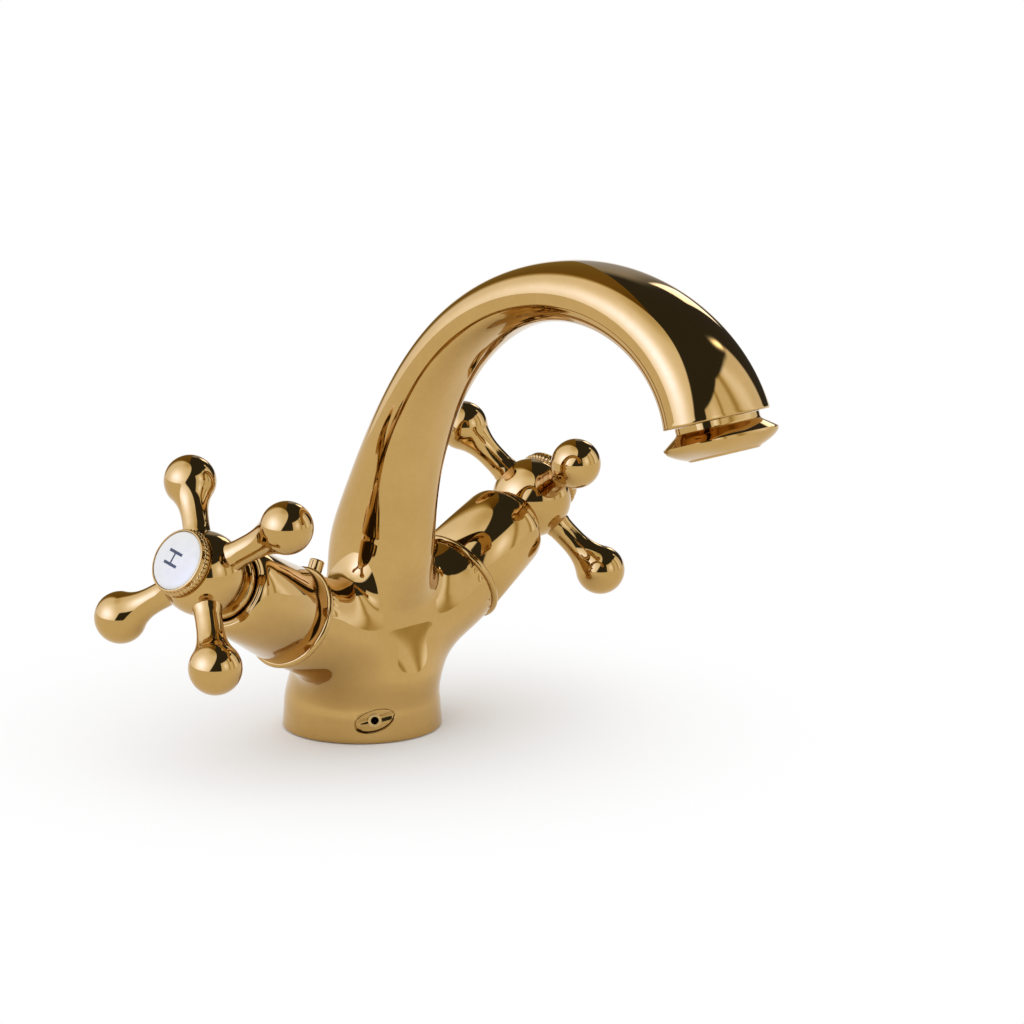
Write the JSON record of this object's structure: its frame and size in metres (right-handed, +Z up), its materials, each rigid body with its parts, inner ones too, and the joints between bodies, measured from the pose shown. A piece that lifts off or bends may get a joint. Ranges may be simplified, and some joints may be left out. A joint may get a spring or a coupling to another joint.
{
  "type": "basin faucet",
  "caption": "Deck-mounted basin faucet with a tall arched cast spout, two inclined quarter-turn valves with ball-ended cross handles and a flared outlet.",
  "frame": {"origin": "centre of the foot's underside, on the basin's surface", "axes": "+Z up, the spout reaches towards -Y, the hot valve is on -X and the cold valve on +X"},
  "size_m": [0.179, 0.1742, 0.1479],
  "materials": {
    "gold": "polished plated",
    "brass": "machined",
    "rubber": "matte",
    "ceramic": "lapped alumina",
    "porcelain": "glazed",
    "steel": "stainless",
    "polymer": "moulded acetal"
  },
  "bodies": {
    "faucet_body": {"casting": "gold", "base_gasket": "rubber", "chain_eyelet": "brass", "outlet_shroud": "gold", "aerator_washer": "rubber", "flow_screen": "steel", "aerator_housing": "gold", "aerator_insert": "polymer", "hot_collar_ring": "gold", "hot_bonnet": "gold", "hot_lock_screw": "gold", "hot_cartridge_housing": "brass", "hot_seat_seal": "rubber", "hot_fixed_disc": "ceramic", "hot_thrust_washer": "polymer", "hot_flange_seal": "rubber", "cold_collar_ring": "gold", "cold_bonnet": "gold", "cold_lock_screw": "gold", "cold_cartridge_housing": "brass", "cold_seat_seal": "rubber", "cold_fixed_disc": "ceramic", "cold_thrust_washer": "polymer", "cold_flange_seal": "rubber"},
    "hot_handle": {"hot_moving_disc": "ceramic", "hot_spindle": "brass", "hot_spindle_orings": "rubber", "hot_circlip": "steel", "hot_handle_hub": "gold", "hot_handle_arms": "gold", "hot_handle_screw": "steel", "hot_index_rim": "gold", "hot_index_disc": "porcelain"},
    "cold_handle": {"cold_moving_disc": "ceramic", "cold_spindle": "brass", "cold_spindle_orings": "rubber", "cold_circlip": "steel", "cold_handle_hub": "gold", "cold_handle_arms": "gold", "cold_handle_screw": "steel", "cold_index_rim": "gold", "cold_index_disc": "porcelain"}
  },
  "joints": [
    {"name": "hot_turn", "type": "hinge", "parent": "faucet_body", "child": "hot_handle", "pos_m": [-0.06967, -0.0058, 0.0589], "axis": [-0.8763, 0, 0.4818], "range_deg": [0, 90]},
    {"name": "cold_turn", "type": "hinge", "parent": "faucet_body", "child": "cold_handle", "pos_m": [0.06967, -0.0058, 0.0589], "axis": [0.8763, 0, 0.4818], "range_deg": [-90, 0]}
  ]
}
